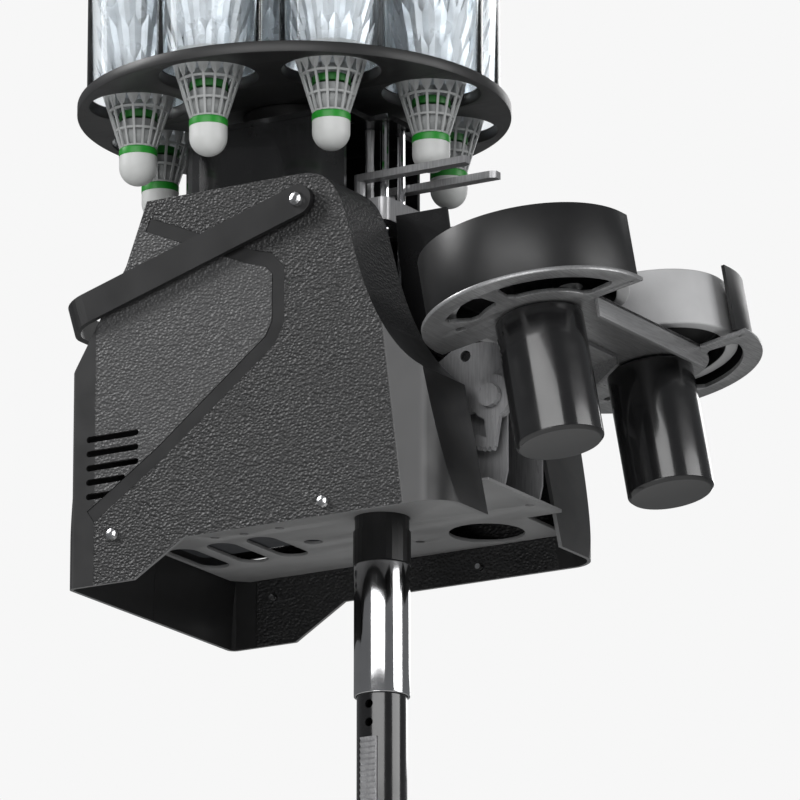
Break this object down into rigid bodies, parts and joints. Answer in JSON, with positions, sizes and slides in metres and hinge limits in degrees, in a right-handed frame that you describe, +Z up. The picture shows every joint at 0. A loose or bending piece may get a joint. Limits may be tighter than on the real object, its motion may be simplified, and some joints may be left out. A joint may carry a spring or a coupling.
{
  "type": "badminton shuttlecock machine",
  "caption": "Shuttlecock launcher with a turning magazine of clear tubes, a lift with two fingers and a tilting two wheel head on a telescopic mast.",
  "frame": {"origin": "middle of the mast's foot, on the end cap's lower face", "axes": "+Z up along the mast, +X the way the shuttles fly, +Y to the machine's left"},
  "size_m": [0.4637, 0.3052, 0.8726],
  "materials": {
    "satin_black": "satin",
    "gloss_pole": "gloss",
    "bare_metal": "satin",
    "chrome": "polished",
    "textured_sheet": "textured",
    "grey_sheet": "satin",
    "screw_metal": "polished",
    "battery_case": "matte",
    "motor_case": "gloss",
    "launcher_metal": "brushed",
    "disc_satin": "satin",
    "clear_plastic": "gloss",
    "nylon": "matte",
    "wheel_grey": "matte"
  },
  "bodies": {
    "stand_pole": {"pole_end_cap": "satin_black", "lower_pole": "gloss_pole", "rack_strip": "bare_metal"},
    "mast": {"mast_sleeve": "chrome", "mast_collar": "satin_black"},
    "head": {"swivel_socket": "satin_black", "deck_plate": "grey_sheet", "cover_near": "textured_sheet", "cover_far": "textured_sheet", "neck_column": "grey_sheet", "neck_top_plate": "grey_sheet", "lift_motor": "motor_case", "feed_chute": "grey_sheet", "pivot_shaft": "bare_metal", "battery_pack": "battery_case", "carousel_motor": "motor_case", "tilt_motor": "motor_case", "cover_screw_near_1": "screw_metal", "cover_screw_near_2": "screw_metal", "cover_screw_far_1": "screw_metal", "cover_screw_far_2": "screw_metal", "handle_bolt_near": "screw_metal", "handle_bolt_far": "screw_metal", "frame_plate_near": "bare_metal", "frame_plate_far": "bare_metal", "guide_rod_near": "chrome", "guide_rod_far": "chrome"},
    "screw": {"lift_screw": "bare_metal"},
    "magazine": {"magazine_disc": "disc_satin", "magazine_top_ring": "clear_plastic", "tube_1": "clear_plastic", "tube_2": "clear_plastic", "tube_3": "clear_plastic", "tube_4": "clear_plastic", "tube_5": "clear_plastic", "tube_6": "clear_plastic", "tube_7": "clear_plastic", "tube_8": "clear_plastic", "shuttle_stack_1": "nylon", "shuttle_stack_2": "nylon", "shuttle_stack_3": "nylon", "shuttle_stack_4": "nylon", "shuttle_stack_5": "nylon", "shuttle_stack_6": "nylon", "shuttle_stack_7": "nylon", "shuttle_stack_8": "nylon"},
    "carriage": {"lift_carriage": "bare_metal"},
    "finger_near": {"finger_near": "bare_metal"},
    "finger_far": {"finger_far": "bare_metal"},
    "launcher": {"launcher_plate": "launcher_metal", "launcher_cradle": "launcher_metal", "sector_gear": "bare_metal", "guard_near": "satin_black", "guard_far": "satin_black", "launch_motor_near": "motor_case", "launch_motor_far": "motor_case"},
    "wheel_near": {"wheel_near": "wheel_grey"},
    "wheel_far": {"wheel_far": "wheel_grey"},
    "worm": {"tilt_worm": "bare_metal"},
    "handle": {"carry_handle": "satin_black"}
  },
  "joints": [
    {"name": "mast_lift", "type": "slide", "parent": "stand_pole", "child": "mast", "axis": [0, 0, 1], "range_m": [-0.018, 0.03]},
    {"name": "head_swivel", "type": "hinge", "parent": "mast", "child": "head", "pos_m": [0, 0, 0.27], "axis": [0, 0, 1], "range_deg": [-60, 60]},
    {"name": "magazine_spin", "type": "hinge", "parent": "head", "child": "magazine", "pos_m": [-0.071, 0, 0.568], "axis": [0, 0, 1], "continuous": true},
    {"name": "gripper_lift", "type": "slide", "parent": "head", "child": "carriage", "axis": [0, 0, 1], "range_m": [-0.026, 0.032]},
    {"name": "lift_screw_spin", "type": "hinge", "parent": "head", "child": "screw", "pos_m": [-0.01, 0, 0.44], "axis": [0, 0, 1], "range_deg": [-560, 680]},
    {"name": "finger_far_swing", "type": "hinge", "parent": "carriage", "child": "finger_far", "pos_m": [-0.006, 0.0195, 0.505], "axis": [0, 0, 1], "range_deg": [-1.5, 12]},
    {"name": "finger_near_swing", "type": "hinge", "parent": "carriage", "child": "finger_near", "pos_m": [-0.006, -0.0195, 0.505], "axis": [0, 0, 1], "range_deg": [-12.5, 2]},
    {"name": "launcher_tilt", "type": "hinge", "parent": "head", "child": "launcher", "pos_m": [0.106, 0, 0.332], "axis": [0, -1, 0], "range_deg": [-8, 15]},
    {"name": "tilt_worm_spin", "type": "hinge", "parent": "head", "child": "worm", "pos_m": [0.07793, -0.0323, 0.29607], "axis": [-0.788, 0, 0.6157], "range_deg": [-500, 920]},
    {"name": "wheel_near_spin", "type": "hinge", "parent": "launcher", "child": "wheel_near", "pos_m": [0.16099, -0.0746, 0.39515], "axis": [-0.1788, 0, 0.9839], "continuous": true},
    {"name": "wheel_far_spin", "type": "hinge", "parent": "launcher", "child": "wheel_far", "pos_m": [0.16099, 0.0746, 0.39515], "axis": [-0.1788, 0, 0.9839], "continuous": true},
    {"name": "handle_swing", "type": "hinge", "parent": "head", "child": "handle", "pos_m": [0, 0, 0.466], "axis": [0, 1, 0], "range_deg": [-2, 24]}
  ],
  "couplings": [
    {"joint": "lift_screw_spin", "follows": "gripper_lift", "rad_per_m": 314.16},
    {"joint": "finger_near_swing", "follows": "finger_far_swing", "ratio": -1},
    {"joint": "tilt_worm_spin", "follows": "launcher_tilt", "ratio": 60}
  ]
}
